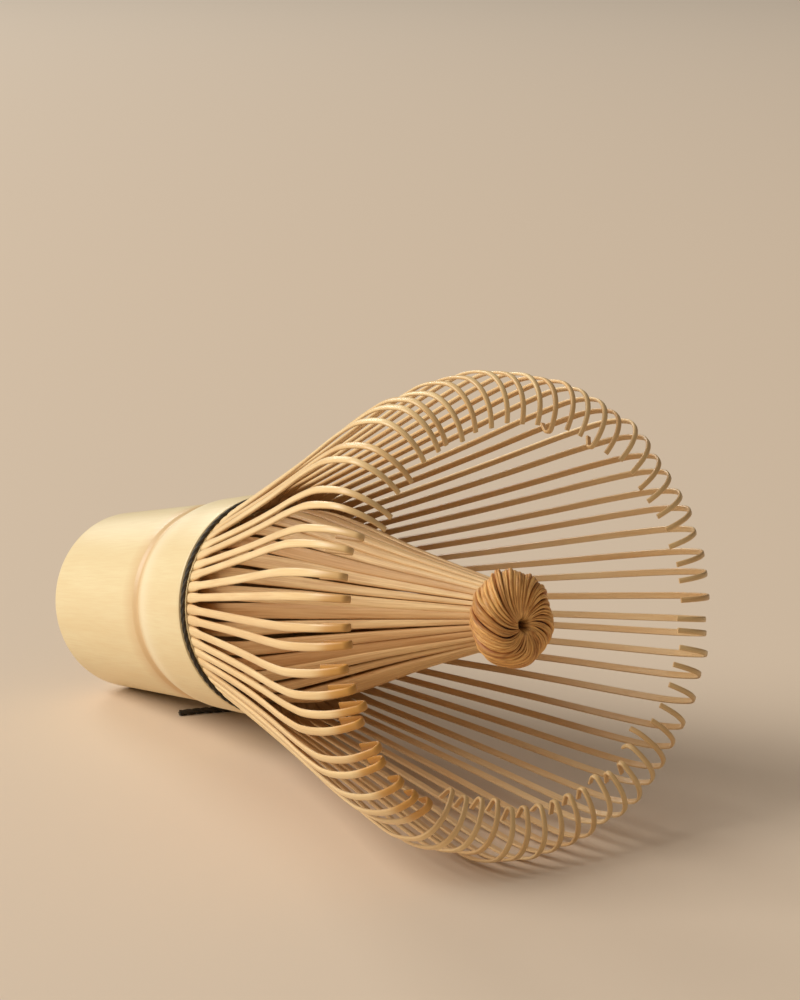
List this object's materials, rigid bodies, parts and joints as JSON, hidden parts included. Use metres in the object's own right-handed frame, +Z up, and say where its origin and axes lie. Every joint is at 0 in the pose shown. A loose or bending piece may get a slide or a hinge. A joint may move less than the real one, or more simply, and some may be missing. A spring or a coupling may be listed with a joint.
{
  "type": "matcha whisk",
  "caption": "Bamboo tea whisk lying on its side: tapered handle with a node, thread-bound root, flared cage of split tines with curled ends, inner cone ending in a swirled knob.",
  "frame": {"origin": "centre of the whisk's footprint on the surface it lies on", "axes": "+X towards the knob and the tines' ends, +Y across the whisk, +Z up; the whisk's own axis rises 10.5 degrees towards +X"},
  "size_m": [0.1066, 0.0602, 0.0595],
  "materials": {
    "polished_bamboo": "pale bamboo skin, smooth with a low sheen",
    "split_bamboo": "split bamboo, matt",
    "inner_bamboo": "split inner bamboo, matt",
    "curled_bamboo": "curled and pressed bamboo ends, matt",
    "waxed_thread": "near-black waxed thread"
  },
  "bodies": {
    "root": {"handle": "polished_bamboo", "outer_tines_01": "split_bamboo", "outer_tines_02": "split_bamboo", "outer_tines_03": "split_bamboo", "outer_tines_04": "split_bamboo", "outer_tines_05": "split_bamboo", "outer_tines_06": "split_bamboo", "outer_tines_07": "split_bamboo", "outer_tines_08": "split_bamboo", "outer_tines_09": "split_bamboo", "outer_tines_10": "split_bamboo", "outer_tines_11": "split_bamboo", "outer_tines_12": "split_bamboo", "outer_tines_13": "split_bamboo", "inner_tines_01": "inner_bamboo", "inner_tines_02": "inner_bamboo", "inner_tines_03": "inner_bamboo", "inner_tines_04": "inner_bamboo", "inner_tines_05": "inner_bamboo", "inner_tines_06": "inner_bamboo", "inner_tines_07": "inner_bamboo", "inner_tines_08": "inner_bamboo", "knob": "curled_bamboo", "binding_thread": "waxed_thread", "thread_tail": "waxed_thread"}
  },
  "joints": []
}
